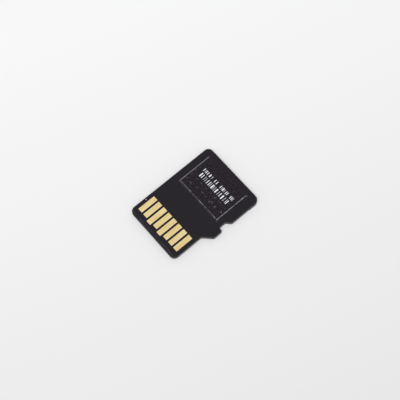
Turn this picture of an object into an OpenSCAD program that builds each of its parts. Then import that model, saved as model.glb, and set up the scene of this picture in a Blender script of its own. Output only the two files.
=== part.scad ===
// A microSD memory card, lying with its contacts facing up. All sizes are in millimetres.
// +Z is up, +Y runs from the contact edge to the back edge, and the side notch is on +X.
// The origin is under the middle of the card's rectangle, level with the bottom of the grip ridge.

/* [Outline] */
// Length from the contact edge to the back edge
card_l = 15; // [14.8:0.1:16]
// Width of the back part
card_w = 11; // [10.6:0.1:11.8]
// Width of the narrower front part that holds the contacts
front_w = 9.7; // [9.4:0.1:10.2]
// From the contact edge to where the shoulder starts to widen at 45 degrees
shoulder_y = 5.1; // [4.8:0.1:5.6]
// From the contact edge to the front wall of the notch
notch_y = 7.9; // [7.7:0.1:8.6]
// Depth of the notch
notch_d = 0.7; // [0.5:0.05:0.8]
// Length of the notch's floor, ahead of its 45 degree ramp
notch_l = 1.2; // [0.9:0.1:1.6]
// Radius of the four outer corners
corner_r = 0.8; // [0.4:0.1:1]
// Radius of the shoulder's two bends
shoulder_r = 0.4; // [0.2:0.1:0.6]
// Radius of the notch's bends
notch_r = 0.2; // [0.05:0.05:0.25]

/* [Thickness] */
// Thickness from the label face to the top of the cover film
card_t = 0.7; // [0.65:0.01:0.8]
// Thickness of the cover film
film_t = 0.012; // [0.008:0.002:0.02]
// Thickness of the lacquer on the contact side
lacquer_t = 0.03; // [0.026:0.002:0.04]
// Thickness of the board's laminate
board_t = 0.14; // [0.1:0.01:0.18]
// Thickness of the lacquer on the inner side
inner_lacquer_t = 0.018; // [0.012:0.002:0.03]

/* [Grip ridge] */
// Height of the ridge under the label face
ridge_h = 0.3; // [0.2:0.05:0.4]
// Depth of the ridge at its ends, measured from the back edge
ridge_side = 1.84; // [1.7:0.02:2]
// Depth of the ridge in the middle, where an arc narrows it
ridge_mid = 1.5; // [1.3:0.05:1.65]
// Radius of that arc
ridge_arc_r = 30; // [24:1:40]

/* [Front edge] */
// Radius along the front edge of the label face
nose_r = 0.15; // [0.05:0.05:0.25]
// Length of the bevel along the contact edge
bevel_l = 0.65; // [0.4:0.05:0.75]
// Drop of that bevel at the edge, all within the lacquer
bevel_drop = 0.02; // [0.01:0.002:0.024]

/* [Contacts] */
// Distance from one contact to the next
contact_pitch = 1.1; // [1:0.05:1.15]
// Width of a contact
contact_w = 0.82; // [0.7:0.02:0.88]
// From the contact edge to the inner end of every contact
contact_inner = 4; // [3.6:0.1:4.4]
// From the contact edge to the outer end of a signal contact
signal_outer = 1.1; // [1:0.05:1.3]
// From the contact edge to the outer end of a supply or ground contact
power_outer = 0.8; // [0.78:0.02:0.98]
// Thickness of a plated contact
contact_t = 0.022; // [0.016:0.002:0.024]
// Radius of a contact's corners
contact_r = 0.06; // [0.02:0.02:0.12]
// Radius of a plated hole under a contact
via_r = 0.06; // [0.04:0.01:0.1]
// From a contact's inner end to its plated hole
via_inset = 0.3; // [0.2:0.05:0.6]

/* [Test pads and film] */
// From the narrow side of the card to the window over the test pads
window_side = 1.2; // [1:0.1:1.5]
// From the back edge to the window
window_back = 1.1; // [0.9:0.1:1.4]
// Width of the window
window_w = 8.05; // [7.8:0.05:8.2]
// Length of the window
window_l = 5.45; // [5.2:0.05:5.8]
// How far the film laps on the lacquer round the window
film_lap = 0.25; // [0.15:0.05:0.4]
// Width of the film's slope down into the window
film_slope = 0.1; // [0.06:0.02:0.2]
// Width of the thinned border along the film's cut edge
film_taper = 0.12; // [0.04:0.02:0.14]
// Columns of test pads
pad_columns = 8; // [5:1:8]
// Rows of test pads
pad_rows = 5; // [3:1:5]
// Distance from one column of test pads to the next
pad_column_pitch = 1; // [0.9:0.02:1.04]
// Distance from one row of test pads to the next
pad_row_pitch = 0.88; // [0.8:0.02:1.1]
// Radius of a test pad
pad_r = 0.32; // [0.2:0.02:0.36]
// Thickness of a test pad
pad_t = 0.012; // [0.008:0.002:0.014]

/* [Memory dies] */
// Width of a memory die
memory_w = 8.4; // [7.6:0.1:8.8]
// Length of a memory die
memory_l = 8.2; // [7.6:0.1:8.6]
// Thickness of a memory die
memory_t = 0.1; // [0.06:0.01:0.11]
// From the narrow side of the card to the memory dies
memory_side = 0.8; // [0.5:0.1:1]
// From the back edge to the upper memory die
memory_back = 0.4; // [0.3:0.1:0.6]
// Shelf that the upper die leaves open on the lower one
memory_step = 0.5; // [0.4:0.05:0.7]
// Wires from each memory die
memory_wire_count = 12; // [6:1:14]
// Distance from one of a memory die's wires to the next
memory_wire_pitch = 0.5; // [0.4:0.02:0.52]
// Radius of the loops from the lower memory die
lower_loop_r = 0.6; // [0.4:0.05:0.8]
// Radius of the loops from the upper memory die
upper_loop_r = 1.2; // [0.9:0.05:1.4]

/* [Controller] */
// Width of the controller
controller_w = 2.6; // [2.2:0.1:3]
// Length of the controller
controller_l = 2.2; // [1.8:0.1:2.6]
// Thickness of the controller
controller_t = 0.12; // [0.08:0.01:0.15]
// From the narrow side of the card to the controller's middle
controller_side = 3.2; // [3:0.1:3.6]
// From the contact edge to the middle of the controller and the capacitors
controller_y = 2.9; // [2.5:0.1:3.2]
// Wires along each side of the controller
controller_wire_count = 5; // [3:1:6]
// Distance from one of the controller's wires to the next
controller_wire_pitch = 0.3; // [0.25:0.01:0.34]
// Radius of the loops from the controller
controller_loop_r = 0.5; // [0.35:0.05:0.6]

/* [Bonding] */
// Thickness of the adhesive film under each die
attach_t = 0.02; // [0.01:0.005:0.03]
// Radius of a bond wire
wire_r = 0.0125; // [0.01:0.0005:0.015]
// How far each wire dips below the die that it leaves
wire_dip = 0.09; // [0.06:0.01:0.12]
// From a die's edge to its row of wires
wire_inset = 0.15; // [0.1:0.01:0.2]
// Width of a bond finger
finger_w = 0.12; // [0.08:0.01:0.14]
// Length of a bond finger
finger_l = 0.35; // [0.25:0.01:0.45]

/* [Capacitors] */
// Number of capacitors
capacitor_count = 3; // [1:1:3]
// Length of a capacitor
capacitor_l = 0.6; // [0.5:0.05:0.8]
// Width and height of a capacitor
capacitor_w = 0.3; // [0.2:0.02:0.36]
// Length of each tinned end
terminal_l = 0.15; // [0.1:0.01:0.2]
// Distance from one capacitor to the next
capacitor_pitch = 0.7; // [0.5:0.05:0.9]
// From the narrow side of the card to the first capacitor's middle
capacitor_side = 6.7; // [6.5:0.1:7]

/* [Hidden] */
$fn = 64;

// Sides of a wire's section, and steps round the full circle of its loop
wire_sides = 8;
loop_steps = 180;

// The card's edges, and the side of its narrower front part
x_low = -card_w / 2;
x_high = card_w / 2;
x_front = x_low + front_w;
x_notch = x_high - notch_d;
y_front = -card_l / 2;
y_back = card_l / 2;

// Where the shoulder and the notch start and end along that side
y_shoulder = y_front + shoulder_y;
y_shoulder_end = y_shoulder + x_high - x_front;
y_notch = y_front + notch_y;
y_notch_end = y_notch + notch_l + notch_d;

// Heights of the layers, from the label face up
z_label = ridge_h;
z_top = z_label + card_t;
z_lacquer = z_top - film_t;
z_board = z_lacquer - lacquer_t;
z_inner = z_board - board_t;
z_mould = z_inner - inner_lacquer_t;

// Heights of the dies' lower faces, which their wires leave
z_lower = z_mould - attach_t - memory_t;
z_upper = z_lower - attach_t - memory_t;
z_controller = z_mould - attach_t - controller_t;

// The pins in the order of their numbers. Pins 4 and 6 are the supply and the ground.
PINS = [1, 2, 3, 4, 5, 6, 7, 8];
POWER_PINS = [4, 6];
contact_mid_x = x_low + front_w / 2;
function contact_x(pin) = contact_mid_x + (len(PINS) / 2 + 0.5 - pin) * contact_pitch;
function contact_outer(pin) = len(search(pin, POWER_PINS)) > 0 ? power_outer : signal_outer;

// The window over the test pads
window_x = x_low + window_side;
window_y = y_back - window_back - window_l;

// The memory dies. The lower one lies a step nearer the contacts.
memory_x = x_low + memory_side;
upper_y = y_back - memory_back - memory_l;
lower_y = upper_y - memory_step;

// The controller's corner and the row of capacitors beside it
controller_mid = [x_low + controller_side, y_front + controller_y];
controller_corner = controller_mid - [controller_w, controller_l] / 2;
capacitor_mid_x = x_low + capacitor_side;

// How far round its circle a wire runs to climb a height from its lowest point, and how far out
function swing(loop_r, height) = acos(1 - height / loop_r);
function reach(loop_r, height) = loop_r * sin(swing(loop_r, height));
function span(loop_r, climb) = reach(loop_r, wire_dip) + reach(loop_r, wire_dip + climb);

// Places along a row of evenly spaced things, about its middle
function row(count, pitch) = [for (i = [0 : count - 1]) (i - (count - 1) / 2) * pitch];

// Rows of wires. Those of the two memory dies alternate, half a pitch apart.
memory_mid_x = memory_x + memory_w / 2;
memory_row = row(memory_wire_count, memory_wire_pitch);
lower_row = [for (x = memory_row) memory_mid_x + x - memory_wire_pitch / 4];
upper_row = [for (x = memory_row) memory_mid_x + x + memory_wire_pitch / 4];
controller_row = row(controller_wire_count, controller_wire_pitch);
lower_start = [0, lower_y + wire_inset, z_lower];
upper_start = [0, upper_y + wire_inset, z_upper];
controller_start = controller_w / 2 - wire_inset;

function unit(v) = v / norm(v);

// The corners of the outline, each with its radius and whether it points outward
CORNERS = [
    [[x_low, y_front], corner_r, true],
    [[x_front, y_front], corner_r, true],
    [[x_front, y_shoulder], shoulder_r, false],
    [[x_high, y_shoulder_end], shoulder_r, true],
    [[x_high, y_notch], notch_r, true],
    [[x_notch, y_notch], notch_r, false],
    [[x_notch, y_notch + notch_l], notch_r, false],
    [[x_high, y_notch_end], notch_r, true],
    [[x_high, y_back], corner_r, true],
    [[x_low, y_back], corner_r, true]
];

// The sliver between a corner and the arc that rounds it, from the two neighbouring corners
module corner_sliver(before, corner, after, r) {
    to_before = unit(before - corner);
    to_after = unit(after - corner);
    half = acos(to_before * to_after) / 2;
    run = r / tan(half);
    centre = corner + unit(to_before + to_after) * r / sin(half);
    difference() {
        polygon([corner, corner + to_before * run, centre, corner + to_after * run]);
        translate(centre) circle(r);
    }
}

// All the slivers at corners that point outward, or all at corners that point inward
module corner_slivers(outward) {
    count = len(CORNERS);
    for (i = [0 : count - 1]) {
        if (CORNERS[i][2] == outward) {
            before = CORNERS[(i + count - 1) % count][0];
            after = CORNERS[(i + 1) % count][0];
            corner_sliver(before, CORNERS[i][0], after, CORNERS[i][1]);
        }
    }
}

// The card's outline, with true arcs at every bend
module card_outline() {
    difference() {
        union() {
            polygon([for (c = CORNERS) c[0]]);
            corner_slivers(false);
        }
        corner_slivers(true);
    }
}

// A layer with the card's outline, from one height up to another
module card_layer(low, high) {
    translate([0, 0, low]) linear_extrude(high - low) card_outline();
}

// A rectangle with one corner at the origin and its corners rounded
module rounded_plate(size, r) {
    union() {
        translate([r, 0]) square(size - [2 * r, 0]);
        translate([0, r]) square(size - [0, 2 * r]);
        for (x = [r, size.x - r], y = [r, size.y - r]) {
            translate([x, y]) circle(r);
        }
    }
}

// A prism along X over the whole card, from a profile of Y and Z points
module prism_along_x(profile) {
    translate([x_low, 0, 0])
        rotate([90, 0, 90]) linear_extrude(card_w) polygon(profile);
}

// A prism along Y over the whole card, from a profile of X and Z points
module prism_along_y(profile) {
    translate([0, y_back, 0])
        rotate([90, 0, 0]) linear_extrude(card_l) polygon(profile);
}

// The plan of the grip ridge: a band at the back edge, narrowed by the arc
module ridge_plan() {
    intersection() {
        card_outline();
        difference() {
            translate([x_low, y_back - ridge_side]) square([card_w, ridge_side]);
            translate([0, y_back - ridge_mid - ridge_arc_r]) circle(ridge_arc_r, $fn = 720);
        }
    }
}

// What the rounded front edge of the label face leaves out
module nose_cut() {
    difference() {
        translate([x_low, y_front, z_label]) cube([card_w, nose_r, nose_r]);
        translate([x_low, y_front + nose_r, z_label + nose_r])
            rotate([0, 90, 0]) cylinder(h = card_w, r = nose_r);
    }
}

// The moulding: it closes round everything on the inner side of the board
module moulded_body() {
    color("#1c1b1d")
    difference() {
        union() {
            card_layer(z_label, z_mould);
            linear_extrude(z_mould) ridge_plan();
        }
        nose_cut();
        die_attach_lower();
        memory_die_lower();
        die_attach_upper();
        memory_die_upper();
        die_attach_controller();
        controller_die();
        capacitor_bodies();
        capacitor_terminals();
        memory_wires_lower();
        memory_wires_upper();
        controller_wires();
    }
}

// The board's laminate, drilled for the plated holes
module substrate() {
    color("#2b3329")
    difference() {
        card_layer(z_inner, z_board);
        contact_vias();
    }
}

// The outline of one contact, which is also its window in the lacquer
module contact_plan(pin) {
    size = [contact_w, contact_inner - contact_outer(pin)];
    translate([contact_x(pin) - contact_w / 2, y_front + contact_outer(pin)])
        rounded_plate(size, contact_r);
}

// The bevel along the contact edge, worn into the lacquer
module bevel_cut() {
    prism_along_x([
        [y_front, z_lacquer],
        [y_front + bevel_l, z_lacquer],
        [y_front, z_lacquer - bevel_drop]
    ]);
}

// The lacquer on the contact side, open at the contacts and over the test pads
module outer_solder_mask() {
    color("#29262b")
    difference() {
        card_layer(z_board, z_lacquer);
        bevel_cut();
        translate([0, 0, z_board]) linear_extrude(lacquer_t) {
            for (pin = PINS) {
                contact_plan(pin);
            }
            translate([window_x, window_y]) square([window_w, window_l]);
        }
    }
}

// The lacquer on the inner side, open at the bond fingers
module inner_solder_mask() {
    color("#22382a")
    difference() {
        card_layer(z_mould, z_inner);
        bond_fingers();
    }
}

// One gold contact. Pin 1 is nearest the notch side.
module contact(pin) {
    color("#e4cc94")
    translate([0, 0, z_board]) linear_extrude(contact_t) contact_plan(pin);
}

// The plated holes that lead from the contacts to the inner side
module contact_vias() {
    color("#b87a4b")
    for (pin = PINS) {
        translate([contact_x(pin), y_front + contact_inner - via_inset, z_inner])
            cylinder(h = board_t, r = via_r);
    }
}

// The test pads, in a grid about the middle of their window
module test_pads() {
    color("#c9a86a")
    for (x = row(pad_columns, pad_column_pitch), y = row(pad_rows, pad_row_pitch)) {
        translate([window_x + window_w / 2 + x, window_y + window_l / 2 + y, z_board])
            cylinder(h = pad_t, r = pad_r);
    }
}

// The shape of a sunken or raised panel round the window, mitred at its corners.
// It is as wide at its foot as at its head plus the flare on each side, and grow widens both.
module panel(grow, flare, low, high) {
    intersection() {
        prism_along_y([
            [window_x - grow - flare, low],
            [window_x + window_w + grow + flare, low],
            [window_x + window_w + grow, high],
            [window_x - grow, high]
        ]);
        prism_along_x([
            [window_y - grow - flare, low],
            [window_y + window_l + grow + flare, low],
            [window_y + window_l + grow, high],
            [window_y - grow, high]
        ]);
    }
}

// The cover film: its border laps on the lacquer, and its middle lies on the test pads
module cover_film() {
    z_pads = z_board + pad_t;
    color("#2c292d")
    difference() {
        union() {
            panel(film_lap - film_taper, film_taper, z_lacquer, z_top);
            panel(0, 0, z_pads, z_lacquer);
        }
        panel(0, -film_slope, z_pads + film_t, z_top);
        difference() {
            panel(0, 0, z_pads, z_lacquer);
            panel(0, -film_slope, z_pads, z_lacquer);
        }
    }
}

// A flat block on the stack, hanging from a height down by its thickness
module die(corner, size, high, thick) {
    translate([corner.x, corner.y, high - thick]) cube([size.x, size.y, thick]);
}

// The adhesive film under the lower memory die
module die_attach_lower() {
    color("#c8b070") die([memory_x, lower_y], [memory_w, memory_l], z_mould, attach_t);
}

// The memory die next to the board
module memory_die_lower() {
    color("#7c808a") die([memory_x, lower_y], [memory_w, memory_l], z_mould - attach_t, memory_t);
}

// The adhesive film between the memory dies
module die_attach_upper() {
    color("#c8b070") die([memory_x, upper_y], [memory_w, memory_l], z_lower, attach_t);
}

// The second memory die, stepped back from the first one's wires
module memory_die_upper() {
    color("#8a8e98") die([memory_x, upper_y], [memory_w, memory_l], z_lower - attach_t, memory_t);
}

// The adhesive film under the controller
module die_attach_controller() {
    color("#c8b070") die(controller_corner, [controller_w, controller_l], z_mould, attach_t);
}

// The controller, beside the memory dies
module controller_die() {
    color("#6c7480")
    die(controller_corner, [controller_w, controller_l], z_mould - attach_t, controller_t);
}

// Puts a piece at each capacitor's middle, on the inner lacquer
module at_capacitors() {
    for (i = [0 : capacitor_count - 1]) {
        translate([capacitor_mid_x + i * capacitor_pitch, controller_mid.y, z_mould - capacitor_w / 2])
            children();
    }
}

// The ceramic middles of the capacitors
module capacitor_bodies() {
    color("#8f7a60")
    at_capacitors() cube([capacitor_w, capacitor_l - 2 * terminal_l, capacitor_w], center = true);
}

// The tinned ends of the capacitors
module capacitor_terminals() {
    color("#c4c6c8")
    at_capacitors() {
        for (side = [-1, 1]) {
            translate([0, side * (capacitor_l - terminal_l) / 2, 0])
                cube([capacitor_w, terminal_l, capacitor_w], center = true);
        }
    }
}

// One wire in the XZ plane, from the origin on a die's lower face out to a finger at climb above it.
// Both ends run on a little, for the faces that they land on to trim.
module wire_arc(loop_r, climb) {
    spare = 4 * wire_r / loop_r * 180 / PI;
    die_swing = swing(loop_r, wire_dip) + spare;
    finger_swing = swing(loop_r, wire_dip + climb) + spare;
    translate([reach(loop_r, wire_dip), 0, loop_r - wire_dip])
        rotate([90, 0, 0])
        rotate_extrude(angle = die_swing + finger_swing, start = -90 - die_swing, $fn = loop_steps)
        translate([loop_r, 0]) circle(wire_r, $fn = wire_sides);
}

// What lies above the moulding: the wires end at its lower face
module board_side() {
    translate([x_low, y_front, z_mould]) cube([card_w, card_l, inner_lacquer_t + board_t]);
}

// The wires from the lower memory die
module memory_wires_lower() {
    color("#d8b45a")
    difference() {
        for (x = lower_row) {
            translate(lower_start + [x, 0, 0])
                rotate([0, 0, -90]) wire_arc(lower_loop_r, z_mould - z_lower);
        }
        board_side();
        memory_die_lower();
    }
}

// The wires from the upper memory die, which pass over the lower one's shelf
module memory_wires_upper() {
    color("#d8b45a")
    difference() {
        for (x = upper_row) {
            translate(upper_start + [x, 0, 0])
                rotate([0, 0, -90]) wire_arc(upper_loop_r, z_mould - z_upper);
        }
        board_side();
        memory_die_upper();
    }
}

// The wires from both sides of the controller
module controller_wires() {
    color("#d8b45a")
    difference() {
        for (side = [0, 180], y = controller_row) {
            translate([controller_mid.x, controller_mid.y + y, z_controller])
                rotate([0, 0, side])
                translate([controller_start, 0, 0]) wire_arc(controller_loop_r, z_mould - z_controller);
        }
        board_side();
        controller_die();
    }
}

// One bond finger, flush with the inner lacquer and centred on its place
module finger(place, size) {
    translate([place.x - size.x / 2, place.y - size.y / 2, z_mould])
        cube([size.x, size.y, inner_lacquer_t]);
}

// The bond fingers, one where each wire lands
module bond_fingers() {
    lower_landing = lower_start.y - span(lower_loop_r, z_mould - z_lower);
    upper_landing = upper_start.y - span(upper_loop_r, z_mould - z_upper);
    controller_landing = controller_start + span(controller_loop_r, z_mould - z_controller);
    color("#d8b45a") {
        for (x = lower_row) {
            finger([x, lower_landing], [finger_w, finger_l]);
        }
        for (x = upper_row) {
            finger([x, upper_landing], [finger_w, finger_l]);
        }
        for (side = [-1, 1], y = controller_row) {
            finger(controller_mid + [side * controller_landing, y], [finger_l, finger_w]);
        }
    }
}

moulded_body();
substrate();
outer_solder_mask();
inner_solder_mask();
contact(1);  // contact_dat2
contact(2);  // contact_dat3
contact(3);  // contact_cmd
contact(4);  // contact_vdd
contact(5);  // contact_clk
contact(6);  // contact_vss
contact(7);  // contact_dat0
contact(8);  // contact_dat1
contact_vias();
test_pads();
cover_film();
die_attach_lower();
memory_die_lower();
die_attach_upper();
memory_die_upper();
die_attach_controller();
controller_die();
capacitor_bodies();
capacitor_terminals();
bond_fingers();
memory_wires_lower();
memory_wires_upper();
controller_wires();
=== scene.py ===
import bpy
import numpy as np
from mathutils import Matrix, Vector


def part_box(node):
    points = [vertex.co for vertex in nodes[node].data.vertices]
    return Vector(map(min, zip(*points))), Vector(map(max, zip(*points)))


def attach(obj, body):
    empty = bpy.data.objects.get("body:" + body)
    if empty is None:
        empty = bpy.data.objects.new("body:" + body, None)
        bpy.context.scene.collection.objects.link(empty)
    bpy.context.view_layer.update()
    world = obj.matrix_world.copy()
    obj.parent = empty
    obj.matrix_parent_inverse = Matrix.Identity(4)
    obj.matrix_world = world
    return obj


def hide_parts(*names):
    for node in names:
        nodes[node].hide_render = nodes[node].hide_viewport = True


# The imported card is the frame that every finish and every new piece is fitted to. It lies flat with
# its contacts up: +Y runs from the contact edge to the back edge, and the side notch is on +X.
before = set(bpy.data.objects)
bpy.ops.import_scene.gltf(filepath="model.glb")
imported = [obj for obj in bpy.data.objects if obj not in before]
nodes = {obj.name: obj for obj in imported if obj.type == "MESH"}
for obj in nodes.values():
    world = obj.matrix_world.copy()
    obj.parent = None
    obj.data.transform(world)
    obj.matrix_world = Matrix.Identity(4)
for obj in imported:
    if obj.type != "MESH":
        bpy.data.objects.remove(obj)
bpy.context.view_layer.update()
MM = 0.001


# The camera looks steeply down from the front right, from 12 cm above the table, through a long
# lens. Its place was found from the card's corners and contacts in the 400 by 400 photograph.
view_azimuth = 52.722
view_elevation = 69.672
view_roll = -3.681
view_distance = 132.26 * MM
aim_point = Vector((-0.086, 1.098, 1.0)) * MM
sensor_width = 36.0
focal_length = 83.1
nearest_seen = 1 * MM
farthest_seen = 10000 * MM


def camera_turn(azimuth, elevation, roll):
    """The camera's rotation: its back vector points from the aim to the lens, at azimuth round +Z
    from -Y and elevation above the table, and its side vector is turned by roll about that."""
    a, e, r = np.radians([azimuth, elevation, roll])
    back = Vector((np.sin(a) * np.cos(e), -np.cos(a) * np.cos(e), np.sin(e)))
    level = Vector((np.cos(a), np.sin(a), 0.0))
    above = back.cross(level)
    side = level * np.cos(r) + above * np.sin(r)
    top = above * np.cos(r) - level * np.sin(r)
    return Matrix((side, top, back)).transposed()


camera_data = bpy.data.cameras.new("camera")
camera_data.sensor_width = sensor_width
camera_data.lens = focal_length
camera_data.clip_start = nearest_seen
camera_data.clip_end = farthest_seen
camera = bpy.data.objects.new("camera", camera_data)
turn = camera_turn(view_azimuth, view_elevation, view_roll)
camera.matrix_world = Matrix.Translation(aim_point + turn.col[2] * view_distance) @ turn.to_4x4()
bpy.context.scene.collection.objects.link(camera)
bpy.context.scene.camera = camera
bpy.context.scene.view_settings.view_transform = "Standard"


# The table is a plain sheet of smooth white board, so large that its edge is never in view.
# It takes the card's soft shadow, and a painted falloff of light darkens its white gently towards the
# front right.
floor_reach = 1500 * MM
floor_shaded_colour = "#e3e3e4"
floor_lit_colour = "#f8f8f9"
falloff_turn = 154.0
falloff_reach = 34.0


def linear(colour):
    """An sRGB hex colour as linear red, green, blue and a full alpha: a channel c up to 0.04045
    becomes c / 12.92, and any other becomes ((c + 0.055) / 1.055) to the power 2.4."""
    srgb = np.array([int(colour[i:i + 2], 16) for i in (1, 3, 5)]) / 255
    low = srgb / 12.92
    high = ((srgb + 0.055) / 1.055) ** 2.4
    return (*np.where(srgb <= 0.04045, low, high).tolist(), 1.0)


def add(tree, kind, inputs=None, **settings):
    """Adds a node to a tree. The settings are its properties, and inputs gives its sockets, by name
    or number, a value or the output of another node."""
    node = tree.nodes.new(kind)
    for name, value in settings.items():
        setattr(node, name, value)
    for key, value in (inputs or {}).items():
        if isinstance(value, bpy.types.NodeSocket):
            tree.links.new(value, node.inputs[key])
        else:
            node.inputs[key].default_value = value
    return node


def new_finish(name):
    """An empty node material, its tree, and a socket with a point's place on the card in mm."""
    finish = bpy.data.materials.new(name)
    finish.use_nodes = True
    tree = finish.node_tree
    tree.nodes.clear()
    place = add(tree, "ShaderNodeTexCoord")
    scaled = add(tree, "ShaderNodeVectorMath", {
        0: place.outputs["Object"],
        "Scale": 1 / MM,
    }, operation="SCALE")
    return finish, tree, scaled.outputs["Vector"]


def new_piece(name, points, faces, finish, sharp_turn=60):
    """A smooth mesh object at the origin, from an array of points in mm and one of their faces.
    Edges that turn by more than the sharp turn, in degrees, stay sharp."""
    mesh = bpy.data.meshes.new(name)
    mesh.from_pydata((points * MM).tolist(), [], faces.tolist())
    mesh.materials.append(finish)
    mesh.polygons.foreach_set("use_smooth", np.ones(len(faces), bool))
    mesh.set_sharp_from_angle(angle=np.radians(sharp_turn))
    mesh.update()
    piece = bpy.data.objects.new(name, mesh)
    bpy.context.scene.collection.objects.link(piece)
    return piece


white_board, tree, place = new_finish("white_board")
# Painted falloff of light: the board is paler towards the back left and darker towards the front
# right.
falloff_place = add(tree, "ShaderNodeVectorRotate", {
    "Vector": place,
    "Angle": -np.radians(falloff_turn),
}, rotation_type="Z_AXIS")
falloff_parts = add(tree, "ShaderNodeSeparateXYZ", {"Vector": falloff_place.outputs["Vector"]})
falloff = add(tree, "ShaderNodeMapRange", {
    "Value": falloff_parts.outputs["X"],
    "From Min": -falloff_reach,
    "From Max": falloff_reach,
})
painted_falloff_tint = add(tree, "ShaderNodeMix", {
    "Factor": falloff.outputs["Result"],
    6: linear(floor_shaded_colour),
    7: linear(floor_lit_colour),
}, data_type="RGBA")
board_shader = add(tree, "ShaderNodeBsdfPrincipled", {
    "Base Color": painted_falloff_tint.outputs[2],
    "Roughness": 0.9,
    "Specular IOR Level": 0.1,
})
add(tree, "ShaderNodeOutputMaterial", {"Surface": board_shader.outputs["BSDF"]})
floor_corners = np.array([[-1, -1, 0], [1, -1, 0], [1, 1, 0], [-1, 1, 0]]) * floor_reach / MM
floor = new_piece("floor", floor_corners, np.array([[0, 1, 2, 3]]), white_board)


# The light is a white tent: an even dome from all round, with one large soft box high behind the
# camera, so that the card's faint shadow falls away from the view. Gloss and metal reflect only the
# tent's white cloth, not the box, so that the gold keeps its colour from every side.
dome_colour = "#ffffff"
dome_level = 0.385
backdrop_colour = "#f4f4f5"
key_place = Vector((120, -135, 570)) * MM
key_side = 340 * MM
key_power = 2.64

world = bpy.data.worlds.new("white_tent")
world.use_nodes = True
bpy.context.scene.world = world
tree = world.node_tree
tree.nodes.clear()
rays = add(tree, "ShaderNodeLightPath")
dome = add(tree, "ShaderNodeBackground", {"Color": linear(dome_colour), "Strength": dome_level})
backdrop = add(tree, "ShaderNodeBackground", {"Color": linear(backdrop_colour), "Strength": 1.0})
seen_or_mirrored = add(tree, "ShaderNodeMath", {
    0: rays.outputs["Is Camera Ray"],
    1: rays.outputs["Is Glossy Ray"],
}, operation="MAXIMUM")
white_behind = add(tree, "ShaderNodeMath", {
    0: seen_or_mirrored.outputs["Value"],
    1: rays.outputs["Is Transmission Ray"],
}, operation="MAXIMUM")
seen = add(tree, "ShaderNodeMixShader", {
    0: white_behind.outputs["Value"],
    1: dome.outputs["Background"],
    2: backdrop.outputs["Background"],
})
add(tree, "ShaderNodeOutputWorld", {"Surface": seen.outputs["Shader"]})

key_data = bpy.data.lights.new("soft_box", "AREA")
key_data.shape = "SQUARE"
key_data.size = key_side
key_data.energy = key_power
key = bpy.data.objects.new("soft_box", key_data)
key.location = key_place
key.rotation_euler = key_place.to_track_quat("Z", "Y").to_euler()
key.visible_glossy = False
bpy.context.scene.collection.objects.link(key)


# The card's body is black epoxy, moulded over the dies under heat and then sawn to its outline.
# Its silica filler leaves the moulded faces matte, and the sawn flanks paler and streaked upright.
epoxy_colour = "#201f22"
epoxy_filler_colour = "#302f33"
sawn_colour = "#48474b"
filler_grain = 0.05
filler_range = (0.42, 0.72)
mould_grain = 0.035
mould_grain_height = 0.003
# The saw's real marks are finer than the render shows, so they are drawn 0.06 mm wide.
saw_streak = 0.06
saw_streak_stretch = 0.12
saw_streak_range = (0.3, 0.7)
moulded_upward = 0.3
sawn_upward = 0.1


def dress(finish, *names):
    """Gives CAD nodes their finish, in place of what they were packed with."""
    for name in names:
        nodes[name].data.materials.clear()
        nodes[name].data.materials.append(finish)


moulded_epoxy, tree, place = new_finish("moulded_epoxy")

# A face counts as a sawn flank by how little of its normal points up or down.
facing = add(tree, "ShaderNodeTexCoord")
facing_parts = add(tree, "ShaderNodeSeparateXYZ", {"Vector": facing.outputs["Normal"]})
upward = add(tree, "ShaderNodeMath", {0: facing_parts.outputs["Z"]}, operation="ABSOLUTE")
flank = add(tree, "ShaderNodeMapRange", {
    "Value": upward.outputs["Value"],
    "From Min": moulded_upward,
    "From Max": sawn_upward,
})
filler = add(tree, "ShaderNodeTexNoise", {
    "Vector": place,
    "Scale": 1 / filler_grain,
    "Detail": 3.0,
})
filler_share = add(tree, "ShaderNodeMapRange", {
    "Value": filler.outputs["Fac"],
    "From Min": filler_range[0],
    "From Max": filler_range[1],
})
moulded_tint = add(tree, "ShaderNodeMix", {
    "Factor": filler_share.outputs["Result"],
    6: linear(epoxy_colour),
    7: linear(epoxy_filler_colour),
}, data_type="RGBA")
upright = add(tree, "ShaderNodeMapping", {"Vector": place, "Scale": (1, 1, saw_streak_stretch)})
streaks = add(tree, "ShaderNodeTexNoise", {
    "Vector": upright.outputs["Vector"],
    "Scale": 1 / saw_streak,
    "Detail": 2.0,
})
sawn_share = add(tree, "ShaderNodeMapRange", {
    "Value": streaks.outputs["Fac"],
    "From Min": saw_streak_range[0],
    "From Max": saw_streak_range[1],
})
sawn_tint = add(tree, "ShaderNodeMix", {
    "Factor": sawn_share.outputs["Result"],
    6: linear(epoxy_filler_colour),
    7: linear(sawn_colour),
}, data_type="RGBA")
epoxy_tint = add(tree, "ShaderNodeMix", {
    "Factor": flank.outputs["Result"],
    6: moulded_tint.outputs[2],
    7: sawn_tint.outputs[2],
}, data_type="RGBA")
grain = add(tree, "ShaderNodeTexNoise", {
    "Vector": place,
    "Scale": 1 / mould_grain,
    "Detail": 2.0,
})
epoxy_bump = add(tree, "ShaderNodeBump", {
    "Height": grain.outputs["Fac"],
    "Strength": 0.5,
    "Distance": mould_grain_height * MM,
})
epoxy_shader = add(tree, "ShaderNodeBsdfPrincipled", {
    "Base Color": epoxy_tint.outputs[2],
    "Roughness": 0.6,
    "IOR": 1.54,
    "Specular IOR Level": 0.3,
    "Normal": epoxy_bump.outputs["Normal"],
})
add(tree, "ShaderNodeOutputMaterial", {"Surface": epoxy_shader.outputs["BSDF"]})
dress(moulded_epoxy, "moulded_body")


# The board is a dark glass cloth laminate, pressed in plies and routed with the moulding.
# Its edge shows pale broken threads of glass, ply over ply, in a black resin.
resin_colour = "#252427"
thread_colour = "#75767a"
ply_half = 0.047
ply_bare = 0.35 * ply_half
ply_full = 0.8 * ply_half
thread_length = 0.35
thread_width = 0.03
thread_range = (0.4, 0.6)

glass_laminate, tree, place = new_finish("glass_laminate")

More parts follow.
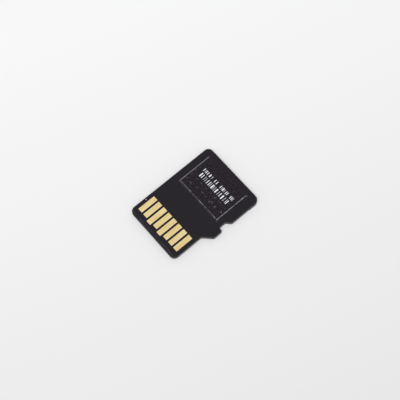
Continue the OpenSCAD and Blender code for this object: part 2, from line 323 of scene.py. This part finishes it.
# The ply node gives the distance from the nearest seam between plies. Threads fill the middle of
# each ply, and the seams are bare resin.
place_parts = add(tree, "ShaderNodeSeparateXYZ", {"Vector": place})
ply = add(tree, "ShaderNodeMath", {0: place_parts.outputs["Z"], 1: ply_half}, operation="PINGPONG")
ply_middle = add(tree, "ShaderNodeMapRange", {
    "Value": ply.outputs["Value"],
    "From Min": ply_bare,
    "From Max": ply_full,
})
along = add(tree, "ShaderNodeMapping", {
    "Vector": place,
    "Scale": (1 / thread_length, 1 / thread_length, 1 / thread_width),
})
threads = add(tree, "ShaderNodeTexNoise", {
    "Vector": along.outputs["Vector"],
    "Scale": 1.0,
    "Detail": 2.0,
})
broken = add(tree, "ShaderNodeMapRange", {
    "Value": threads.outputs["Fac"],
    "From Min": thread_range[0],
    "From Max": thread_range[1],
})
thread_share = add(tree, "ShaderNodeMath", {
    0: ply_middle.outputs["Result"],
    1: broken.outputs["Result"],
}, operation="MULTIPLY")
laminate_tint = add(tree, "ShaderNodeMix", {
    "Factor": thread_share.outputs["Value"],
    6: linear(resin_colour),
    7: linear(thread_colour),
}, data_type="RGBA")
laminate_shader = add(tree, "ShaderNodeBsdfPrincipled", {
    "Base Color": laminate_tint.outputs[2],
    "Roughness": 0.65,
    "IOR": 1.55,
    "Specular IOR Level": 0.3,
})
add(tree, "ShaderNodeOutputMaterial", {"Surface": laminate_shader.outputs["BSDF"]})
dress(glass_laminate, "substrate")


# The contact side is coated with black solder lacquer, printed as a liquid and cured by light.
# It is satin with a slight orange peel. Along the contact edge it is grey and rougher in a streaked
# band, and near the plain side a tiny chip shows the pale glass cloth under it.
lacquer_colour = "#1b171d"
edge_band_colour = "#3b383f"
lacquer_roughness = 0.38
edge_band_roughness = 0.7
peel_width = 0.22
peel_height = 0.0015
edge_band_from_edge = (0.06, 0.16, 0.42, 0.56)
edge_band_patch = (1.2, 0.18)
edge_band_patch_range = (0.4, 0.66)
scratch_width = 0.02
scratch_stretch = 0.08
scratch_range = (0.45, 0.75)
scratch_strength = (0.55, 1.3)
chip_colour = "#d6d4d2"
chip_radius = 0.07
chip_jag = 0.06
chip_stray = 1.6 * chip_radius
chip_outside = 1.85 * chip_radius
chip_inside = 1.55 * chip_radius
chip_from_corner = (0.25, 2.83)

black_lacquer, tree, place = new_finish("black_solder_lacquer")
lacquer_low, lacquer_high = [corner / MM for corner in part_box("outer_solder_mask")]
contact_edge_y = lacquer_low.y
chip_place = (
    lacquer_low.x + chip_from_corner[0],
    lacquer_low.y + chip_from_corner[1],
    lacquer_high.z,
)
place_parts = add(tree, "ShaderNodeSeparateXYZ", {"Vector": place})
edge_start, band_start, band_end, edge_end = [contact_edge_y + y for y in edge_band_from_edge]
band_in = add(tree, "ShaderNodeMapRange", {
    "Value": place_parts.outputs["Y"],
    "From Min": edge_start,
    "From Max": band_start,
}, interpolation_type="SMOOTHSTEP")
band_out = add(tree, "ShaderNodeMapRange", {
    "Value": place_parts.outputs["Y"],
    "From Min": edge_end,
    "From Max": band_end,
}, interpolation_type="SMOOTHSTEP")
band = add(tree, "ShaderNodeMath", {
    0: band_in.outputs["Result"],
    1: band_out.outputs["Result"],
}, operation="MULTIPLY")
patch_place = add(tree, "ShaderNodeMapping", {
    "Vector": place,
    "Scale": (1 / edge_band_patch[0], 1 / edge_band_patch[1], 1),
})
patches = add(tree, "ShaderNodeTexNoise", {
    "Vector": patch_place.outputs["Vector"],
    "Scale": 1.0,
    "Detail": 3.0,
})
patch_share = add(tree, "ShaderNodeMapRange", {
    "Value": patches.outputs["Fac"],
    "From Min": edge_band_patch_range[0],
    "From Max": edge_band_patch_range[1],
})
scratch_place = add(tree, "ShaderNodeMapping", {
    "Vector": place,
    "Scale": (1 / scratch_width, scratch_stretch / scratch_width, 1),
})
scratches = add(tree, "ShaderNodeTexNoise", {
    "Vector": scratch_place.outputs["Vector"],
    "Scale": 1.0,
    "Detail": 1.0,
})
scratch_share = add(tree, "ShaderNodeMapRange", {
    "Value": scratches.outputs["Fac"],
    "From Min": scratch_range[0],
    "From Max": scratch_range[1],
    "To Min": scratch_strength[0],
    "To Max": scratch_strength[1],
})
patched = add(tree, "ShaderNodeMath", {
    0: band.outputs["Value"],
    1: patch_share.outputs["Result"],
}, operation="MULTIPLY")
edge_band_share = add(tree, "ShaderNodeMath", {
    0: patched.outputs["Value"],
    1: scratch_share.outputs["Result"],
}, operation="MULTIPLY")
lacquer_tint = add(tree, "ShaderNodeMix", {
    "Factor": edge_band_share.outputs["Value"],
    6: linear(lacquer_colour),
    7: linear(edge_band_colour),
}, data_type="RGBA")

# The chip fades out as the distance from its middle, plus the stray times a noise, goes from the
# inside value to the outside one.
to_chip = add(tree, "ShaderNodeVectorMath", {0: place, 1: chip_place}, operation="DISTANCE")
chip_edge = add(tree, "ShaderNodeTexNoise", {"Vector": place, "Scale": 1 / chip_jag, "Detail": 2.0})
ragged = add(tree, "ShaderNodeMath", {
    0: chip_edge.outputs["Fac"],
    1: chip_stray,
    2: to_chip.outputs["Value"],
}, operation="MULTIPLY_ADD")
chip = add(tree, "ShaderNodeMapRange", {
    "Value": ragged.outputs["Value"],
    "From Min": chip_outside,
    "From Max": chip_inside,
})
chipped_tint = add(tree, "ShaderNodeMix", {
    "Factor": chip.outputs["Result"],
    6: lacquer_tint.outputs[2],
    7: linear(chip_colour),
}, data_type="RGBA")
lacquer_gloss = add(tree, "ShaderNodeMapRange", {
    "Value": edge_band_share.outputs["Value"],
    "To Min": lacquer_roughness,
    "To Max": edge_band_roughness,
})
peel = add(tree, "ShaderNodeTexNoise", {
    "Vector": place,
    "Scale": 1 / peel_width,
    "Detail": 2.0,
})
lacquer_bump = add(tree, "ShaderNodeBump", {
    "Height": peel.outputs["Fac"],
    "Strength": 0.6,
    "Distance": peel_height * MM,
})
lacquer_shader = add(tree, "ShaderNodeBsdfPrincipled", {
    "Base Color": chipped_tint.outputs[2],
    "Roughness": lacquer_gloss.outputs["Result"],
    "IOR": 1.5,
    "Specular IOR Level": 0.18,
    "Normal": lacquer_bump.outputs["Normal"],
})
add(tree, "ShaderNodeOutputMaterial", {"Surface": lacquer_shader.outputs["BSDF"]})
dress(black_lacquer, "outer_solder_mask")


# The contacts are copper plated with nickel and hard gold, in windows in the lacquer and a hair
# below its face. The plating is softly bright and streaked along the grain of the copper under it.
# A painted highlight makes it paler near its rims, and painted shade darkens it where it rounds off.
gold_colour = "#eace8b"
gold_pale_and_highlight_colour = "#fcebb9"
gold_rim_shade_colour = "#332e26"
gold_tone_width = 0.7
gold_tone_stretch = 0.35
gold_tone_shift = (5.7, 5.3, 5.0)
gold_tone_range = (0.35, 0.65)
gold_tone_paleness = 0.5
plating_grain = 0.03
plating_grain_height = 0.0006
contact_names = [
    "contact_dat2", "contact_dat3", "contact_cmd", "contact_vdd",
    "contact_clk", "contact_vss", "contact_dat0", "contact_dat1",
]
contact_low, contact_high = [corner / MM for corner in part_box("contact_dat1")]
contact_pitch = (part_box("contact_dat0")[0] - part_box("contact_dat1")[0]).x / MM
contact_half = (contact_high.x - contact_low.x) / 2
rim_highlight_width = 0.16
rim_shade = 0.028
rim_dark = 0.7 * rim_shade
rim_highlight = 0.5

gold_plating, tree, place = new_finish("hard_gold_plating")
place_parts = add(tree, "ShaderNodeSeparateXYZ", {"Vector": place})
across = add(tree, "ShaderNodeMath", {
    0: place_parts.outputs["X"],
    1: contact_low.x + contact_half,
}, operation="SUBTRACT")
from_middle = add(tree, "ShaderNodeMath", {
    0: across.outputs["Value"],
    1: contact_pitch / 2,
}, operation="PINGPONG")
# Painted highlight: each contact is paler towards its rims.
painted_rim_highlight = add(tree, "ShaderNodeMapRange", {
    "Value": from_middle.outputs["Value"],
    "From Min": contact_half - rim_highlight_width,
    "From Max": contact_half - rim_shade,
    "To Max": rim_highlight,
}, interpolation_type="SMOOTHSTEP")
tone_place = add(tree, "ShaderNodeMapping", {
    "Vector": place,
    "Location": gold_tone_shift,
    "Scale": (1, gold_tone_stretch, 1),
})
tone = add(tree, "ShaderNodeTexNoise", {
    "Vector": tone_place.outputs["Vector"],
    "Scale": 1 / gold_tone_width,
    "Detail": 4.0,
})
tone_share = add(tree, "ShaderNodeMapRange", {
    "Value": tone.outputs["Fac"],
    "From Min": gold_tone_range[0],
    "From Max": gold_tone_range[1],
    "To Max": gold_tone_paleness,
})
tone_and_highlight_share = add(tree, "ShaderNodeMath", {
    0: painted_rim_highlight.outputs["Result"],
    1: tone_share.outputs["Result"],
}, operation="ADD")
gold_tint = add(tree, "ShaderNodeMix", {
    "Factor": tone_and_highlight_share.outputs["Value"],
    6: linear(gold_colour),
    7: linear(gold_pale_and_highlight_colour),
}, data_type="RGBA")
# Painted shade: each contact turns dark at its rims, where it rounds off.
painted_rim_shade = add(tree, "ShaderNodeMapRange", {
    "Value": from_middle.outputs["Value"],
    "From Min": contact_half - rim_shade,
    "From Max": contact_half - rim_dark,
})
rim_shaded_tint = add(tree, "ShaderNodeMix", {
    "Factor": painted_rim_shade.outputs["Result"],
    6: gold_tint.outputs[2],
    7: linear(gold_rim_shade_colour),
}, data_type="RGBA")
copper_grain = add(tree, "ShaderNodeTexNoise", {
    "Vector": place,
    "Scale": 1 / plating_grain,
    "Detail": 2.0,
})
gold_bump = add(tree, "ShaderNodeBump", {
    "Height": copper_grain.outputs["Fac"],
    "Strength": 0.5,
    "Distance": plating_grain_height * MM,
})
gold_shader = add(tree, "ShaderNodeBsdfPrincipled", {
    "Base Color": rim_shaded_tint.outputs[2],
    "Metallic": 1.0,
    "Roughness": 0.28,
    "Normal": gold_bump.outputs["Normal"],
})
add(tree, "ShaderNodeOutputMaterial", {"Surface": gold_shader.outputs["BSDF"]})
dress(gold_plating, *contact_names)


# What the card hides has its own finish too. The lacquer on the inner side of the board is green,
# printed as the black one is, and the plated holes and test pads are copper grown in a bath.


def grained_finish(name, colour, fleck_colour, grain, metallic, roughness, grain_height,
                   fleck_range=(0.35, 0.65)):
    """A finish of one colour flecked with another, over a bump. The grain is the width of the
    flecks, and it and the height of the bump are in mm. Over the fleck range of the noise the
    flecks fade in."""
    finish, tree, place = new_finish(name)
    flecks = add(tree, "ShaderNodeTexNoise", {
        "Vector": place,
        "Scale": 1 / grain,
        "Detail": 3.0,
    })
    share = add(tree, "ShaderNodeMapRange", {
        "Value": flecks.outputs["Fac"],
        "From Min": fleck_range[0],
        "From Max": fleck_range[1],
    })
    tint = add(tree, "ShaderNodeMix", {
        "Factor": share.outputs["Result"],
        6: linear(colour),
        7: linear(fleck_colour),
    }, data_type="RGBA")
    bump = add(tree, "ShaderNodeBump", {
        "Height": flecks.outputs["Fac"],
        "Strength": 0.5,
        "Distance": grain_height * MM,
    })
    shader = add(tree, "ShaderNodeBsdfPrincipled", {
        "Base Color": tint.outputs[2],
        "Metallic": metallic,
        "Roughness": roughness,
        "Normal": bump.outputs["Normal"],
    })
    add(tree, "ShaderNodeOutputMaterial", {"Surface": shader.outputs["BSDF"]})
    return finish


green_lacquer = grained_finish(
    "green_solder_lacquer", "#1c4530", "#2a5a3d",
    grain=0.2, metallic=0.0, roughness=0.4, grain_height=0.001)
plated_copper = grained_finish(
    "plated_copper", "#b8734a", "#cf9068",
    grain=0.04, metallic=1.0, roughness=0.4, grain_height=0.0008)
dress(green_lacquer, "inner_solder_mask")
dress(plated_copper, "contact_vias", "test_pads")


# The memory dies and the controller are silicon, ground thin from the back and polished to a dim
# grey mirror. Each is stuck down with a cured sheet of amber adhesive.
ground_silicon = grained_finish(
    "ground_silicon", "#7b7f88", "#8f939c",
    grain=0.08, metallic=0.6, roughness=0.3, grain_height=0.0003)
die_attach = grained_finish(
    "cured_die_adhesive", "#c2a863", "#d2bd80",
    grain=0.15, metallic=0.0, roughness=0.5, grain_height=0.001)
dress(ground_silicon, "memory_die_lower", "memory_die_upper", "controller_die")
dress(die_attach, "die_attach_lower", "die_attach_upper", "die_attach_controller")


# The capacitors are fired brown ceramic with matte tinned ends. The bond fingers are plated with
# soft gold, and the wires to them are drawn from the same gold.
fired_ceramic = grained_finish(
    "fired_ceramic", "#8a745a", "#a28c70",
    grain=0.03, metallic=0.0, roughness=0.55, grain_height=0.001)
matte_tin = grained_finish(
    "matte_tin", "#bfc1c3", "#d2d3d4",
    grain=0.02, metallic=1.0, roughness=0.45, grain_height=0.0008)
drawn_gold = grained_finish(
    "drawn_gold", "#e0bd62", "#efd184",
    grain=0.02, metallic=1.0, roughness=0.25, grain_height=0.0003)
dress(fired_ceramic, "capacitor_bodies")
dress(matte_tin, "capacitor_terminals")
dress(drawn_gold, "bond_fingers", "memory_wires_lower", "memory_wires_upper", "controller_wires")


# The cover film is a cut of black adhesive film, pressed over the test pads and onto the lacquer
# round them. It sags a little between the pads. Pale lines along its steps into the window are
# partly whitening and partly painted highlight, and painted glints lie on its bumps over the pads.
film_colour = "#110c12"
film_fleck_colour = "#312a33"
film_whitening_and_highlight_colour = "#a8a4ad"
# The film's real grain is finer than the render shows, so its flecks are drawn 0.2 mm wide.
film_fleck = 0.2
film_fleck_range = (0.46, 0.72)
film_fleck_height = 0.002
film_thickness = 0.012
film_lap = 0.25
film_slope = 0.1
film_taper = 0.12
film_sag = 0.011
pad_columns = 8
pad_rows = 5
pad_radius = 0.32
pad_shoulder = 0.16
fold_step = 0.02
flat_step = 0.05
fold_border = film_lap + film_slope + flat_step

film_low, film_high = [np.array(corner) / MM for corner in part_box("cover_film")]
pads_low, pads_high = [np.array(corner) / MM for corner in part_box("test_pads")]
lacquer_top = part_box("outer_solder_mask")[1].z / MM
window_low = film_low[:2] + film_lap
window_high = film_high[:2] - film_lap


def smooth(share):
    """The share held between 0 and 1 and eased at both ends: 3 s squared less 2 s cubed."""
    s = np.clip(share, 0, 1)
    return s * s * (3 - 2 * s)


def graded(start, end, border, fine, coarse):
    """Places from start to end, close together within the border at each end."""
    fine_count = round(border / fine) + 1
    coarse_count = round((end - start - 2 * border) / coarse) + 1
    return np.concatenate([
        np.linspace(start, start + border, fine_count)[:-1],
        np.linspace(start + border, end - border, coarse_count),
        np.linspace(end - border, end, fine_count)[1:],
    ])


def shell(xs, ys, under, over):
    """A closed skin on a grid of places: one sheet at the height over, with its faces up, and one
    at the height under, with its faces down. The two sheets share the points along the rim."""
    rows, columns = len(xs), len(ys)
    x, y = np.meshgrid(xs, ys, indexing="ij")
    upper = np.stack([x, y, over], axis=-1)
    lower = np.stack([x, y, under], axis=-1)[1:-1, 1:-1]
    upper_index = np.arange(rows * columns).reshape(rows, columns)
    lower_index = upper_index.copy()
    inner_count = (rows - 2) * (columns - 2)
    inner = rows * columns + np.arange(inner_count)
    lower_index[1:-1, 1:-1] = inner.reshape(rows - 2, columns - 2)
    faces = [
        np.stack([g[:-1, :-1], g[1:, :-1], g[1:, 1:], g[:-1, 1:]], axis=-1).reshape(-1, 4)
        for g in (upper_index, lower_index)
    ]
    points = np.concatenate([upper.reshape(-1, 3), lower.reshape(-1, 3)])
    return points, np.concatenate([faces[0], faces[1][:, ::-1]])


def pad_places(low, high, count):
    """The middles of a row of pads, from the row's two ends and the radius of a pad."""
    return np.linspace(low + pad_radius, high - pad_radius, count)


pad_x = pad_places(pads_low[0], pads_high[0], pad_columns)
pad_y = pad_places(pads_low[1], pads_high[1], pad_rows)


def over_pads(x, y):
    """How far a point is over a pad: 1 on the pad, easing to 0 at the end of its shoulder."""
    from_column = np.min(np.abs(x[..., None] - pad_x), axis=-1)
    from_row = np.min(np.abs(y[..., None] - pad_y), axis=-1)
    from_middle = np.hypot(from_column, from_row)
    return smooth((pad_radius + pad_shoulder - from_middle) / pad_shoulder)


def film_under(x, y):
    """The height of what the film lies on: the lacquer outside the window, sloping down to the
    tops of the pads inside it, and lower by the sag between the pads."""
    into_window = np.minimum(
        np.minimum(x - window_low[0], window_high[0] - x),
        np.minimum(y - window_low[1], window_high[1] - y))
    bed = pads_high[2] - film_sag * (1 - over_pads(x, y))
    step = smooth(into_window / film_slope)
    return lacquer_top + (bed - lacquer_top) * step


def film_over(x, y):
    """The height of the film's face: its thickness over what it lies on, thinned to nothing along
    the cut edge by the taper."""
    from_cut = np.minimum(
        np.minimum(x - film_low[0], film_high[0] - x),
        np.minimum(y - film_low[1], film_high[1] - y))
    return film_under(x, y) + film_thickness * smooth(from_cut / film_taper)


film_seed = 5
draw_film = np.random.default_rng(film_seed)
bead_pitch = 0.12
bead_power = 0.6


def crease(x, y, start, end, width, strength, beads):
    """How pale a crease from start to end paints each point, as whitening and painted highlight: its
    strength times a bell curve of the distance from it, broken along its length into beads. Each bead
    is weaker by the beads value times a random number to the bead power."""
    run = end - start
    length = np.hypot(*run)
    along = np.clip(((x - start[0]) * run[0] + (y - start[1]) * run[1]) / length, 0, length)
    near_x = start[0] + run[0] * along / length
    near_y = start[1] + run[1] * along / length
    distance = np.hypot(x - near_x, y - near_y)
    knots = np.linspace(0, length, max(2, round(length / bead_pitch)))
    bead = np.interp(along, knots, 1 - beads * draw_film.random(len(knots)) ** bead_power)
    return strength * bead * np.exp(-(distance / width) ** 2)


# Pale lines, partly whitening and partly painted highlight, run along the sides of the window, out
# from the window's corners over the lacquer, and along the cut edge that faces the contacts.
crease_width = 0.055
long_run = 0.2
short_run = 0.16
low_left, high_right = window_low, window_high
low_right = np.array([window_high[0], window_low[1]])
high_left = np.array([window_low[0], window_high[1]])
cut_left, cut_right = low_left - (0, film_lap), low_right - (0, film_lap)
creases = [
    {"start": low_left, "end": high_left, "strength": 0.64, "beads": 0.35},
    {"start": high_left, "end": high_left + (0, long_run), "strength": 0.08, "beads": 0.25},
    {"start": low_left, "end": low_left - (0, long_run), "strength": 0.2, "beads": 0.25},
    {"start": low_right, "end": high_right, "strength": 1.5, "beads": 0.85},
    {"start": low_left, "end": low_right, "strength": 0.85, "beads": 1.0},
    {"start": high_right, "end": high_right + long_run, "strength": 0.35, "beads": 0.4},
    {"start": low_right, "end": low_right + (short_run, -short_run), "strength": 0.35, "beads": 0.4},
    {"start": high_left, "end": high_right, "strength": 0.03, "beads": 0.9},
    {"start": cut_left, "end": cut_right, "strength": 0.22, "beads": 0.9},
]

xs = graded(film_low[0], film_high[0], fold_border, fold_step, flat_step)
ys = graded(film_low[1], film_high[1], fold_border, fold_step, flat_step)
grid_x, grid_y = np.meshgrid(xs, ys, indexing="ij")
film_points, film_faces = shell(xs, ys, film_under(grid_x, grid_y), film_over(grid_x, grid_y))
# The pale value holds whitening with painted highlight along the creases, and painted glints over the
# pads.
pale = np.zeros(len(film_points))
for fold in creases:
    line = crease(film_points[:, 0], film_points[:, 1], width=crease_width, **fold)
    pale = np.maximum(pale, line)

# Painted glints lie in crescents on top of the film's bumps, 0.4 to 1 times a pad's radius out from
# the middle and towards the back and the plain side. They are strongest in the rows nearest the
# contacts, and grow towards the notch.
glints_per_pad = 3
glint_turn = np.radians(135)
glint_swing = 1.2
glint_focus = 6
glint_width = 0.07
glint_out = (0.4, 1.0)
glint_range = (0.0, 1.0)
glint_growth = 0.7
row_glints = (0.32, 0.23, 0.16, 0.05, 0.05)
for row_y, row_strength in zip(pad_y, row_glints):
    for column_x in np.repeat(pad_x, glints_per_pad):
        out_x, out_y = film_points[:, 0] - column_x, film_points[:, 1] - row_y
        from_arc = np.hypot(out_x, out_y) - pad_radius * draw_film.uniform(*glint_out)
        swing = draw_film.uniform(-glint_swing, glint_swing)
        turned = np.arctan2(out_y, out_x) - glint_turn + swing
        on_that_side = np.clip(np.cos(turned), 0, 1) ** glint_focus
        towards_notch = 1 + glint_growth * (column_x - pad_x.mean()) / np.ptp(pad_x)
        strength = row_strength * towards_notch * draw_film.uniform(*glint_range)
        painted_glint = strength * on_that_side * np.exp(-(from_arc / glint_width) ** 2)
        pale = np.maximum(pale, painted_glint)

black_film, tree, place = new_finish("black_adhesive_film")
film_flecks = add(tree, "ShaderNodeTexNoise", {
    "Vector": place,
    "Scale": 1 / film_fleck,
    "Detail": 3.0,
})
fleck_share = add(tree, "ShaderNodeMapRange", {
    "Value": film_flecks.outputs["Fac"],
    "From Min": film_fleck_range[0],
    "From Max": film_fleck_range[1],
})
film_tint = add(tree, "ShaderNodeMix", {
    "Factor": fleck_share.outputs["Result"],
    6: linear(film_colour),
    7: linear(film_fleck_colour),
}, data_type="RGBA")
# The pale attribute paints whitening and highlight on the creases, and glints on the pads' bumps.
whitening_and_highlight = add(tree, "ShaderNodeAttribute", attribute_name="pale")
whitened_and_highlit_tint = add(tree, "ShaderNodeMix", {
    "Factor": whitening_and_highlight.outputs["Fac"],
    6: film_tint.outputs[2],
    7: linear(film_whitening_and_highlight_colour),
}, data_type="RGBA")
film_bump = add(tree, "ShaderNodeBump", {
    "Height": film_flecks.outputs["Fac"],
    "Strength": 0.5,
    "Distance": film_fleck_height * MM,
})
film_shader = add(tree, "ShaderNodeBsdfPrincipled", {
    "Base Color": whitened_and_highlit_tint.outputs[2],
    "Roughness": 0.42,
    "IOR": 1.5,
    "Specular IOR Level": 0.18,
    "Normal": film_bump.outputs["Normal"],
})
add(tree, "ShaderNodeOutputMaterial", {"Surface": film_shader.outputs["BSDF"]})

film = new_piece("cover_film_draped", film_points, film_faces, black_film)
film.data.attributes.new("pale", "FLOAT", "POINT").data.foreach_set("value", pale)
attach(film, "root")
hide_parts("cover_film")


# Two rows of white ink are printed on the film. They are plain upright bars, of one height in a row,
# thick and thin in no order, and spell nothing. The ink is thin, matte and rounded at its rims.
ink_colour = "#f6fafd"
ink_worn_colour = "#c3c9cf"
ink_wear_width = 0.09
ink_wear_range = (0.5, 0.75)
ink_thickness = 0.005
ink_sunk = 0.002
ink_flatness = 6
bar_steps = (5, 11)
bar_widths = (0.06, 0.12, 0.22)
bar_gaps = (0.09, 0.32)
ink_seed = 225
draw_ink = np.random.default_rng(ink_seed)
ink_rows = [
    {"middle": 3.78, "height": 0.8, "groups": [(-3.06, 2.86)]},
    {"middle": 4.66, "height": 0.58,
     "groups": [(-3.26, -1.54), (-0.92, -0.4), (0.3, 1.84), (2.42, 3.02)]},
]


def ink_bar(middle, size):
    """One bar of ink as a closed pillow on the film: as thick as the ink in its middle, falling to
    nothing at its rim as one less a high power of the distance out each way."""
    across = np.linspace(-1, 1, bar_steps[0])
    along = np.linspace(-1, 1, bar_steps[1])
    u, v = np.meshgrid(across, along, indexing="ij")
    xs, ys = middle[0] + across * size[0] / 2, middle[1] + along * size[1] / 2
    x, y = np.meshgrid(xs, ys, indexing="ij")
    base = film_over(x, y) - ink_sunk
    fill = (1 - u ** ink_flatness) * (1 - v ** ink_flatness)
    return shell(xs, ys, base - ink_sunk * fill, base + (ink_thickness + ink_sunk) * fill)


ink_points, ink_faces, ink_count = [], [], 0
for row in ink_rows:
    for start, end in row["groups"]:
        bar_start = start
        while bar_start < end:
            width = draw_ink.choice(bar_widths)
            points, faces = ink_bar((bar_start + width / 2, row["middle"]), (width, row["height"]))
            ink_points.append(points)
            ink_faces.append(faces + ink_count)
            ink_count += len(points)
            bar_start += width + draw_ink.uniform(*bar_gaps)

white_ink, tree, place = new_finish("white_print_ink")
wear = add(tree, "ShaderNodeTexNoise", {
    "Vector": place,
    "Scale": 1 / ink_wear_width,
    "Detail": 2.0,
})
wear_share = add(tree, "ShaderNodeMapRange", {
    "Value": wear.outputs["Fac"],
    "From Min": ink_wear_range[0],
    "From Max": ink_wear_range[1],
})
ink_tint = add(tree, "ShaderNodeMix", {
    "Factor": wear_share.outputs["Result"],
    6: linear(ink_colour),
    7: linear(ink_worn_colour),
}, data_type="RGBA")
ink_shader = add(tree, "ShaderNodeBsdfPrincipled", {
    "Base Color": ink_tint.outputs[2],
    "Roughness": 0.7,
    "IOR": 1.5,
    "Specular IOR Level": 0.3,
})
add(tree, "ShaderNodeOutputMaterial", {"Surface": ink_shader.outputs["BSDF"]})

print_marks = new_piece(
    "print_marks", np.concatenate(ink_points), np.concatenate(ink_faces), white_ink)
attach(print_marks, "root")
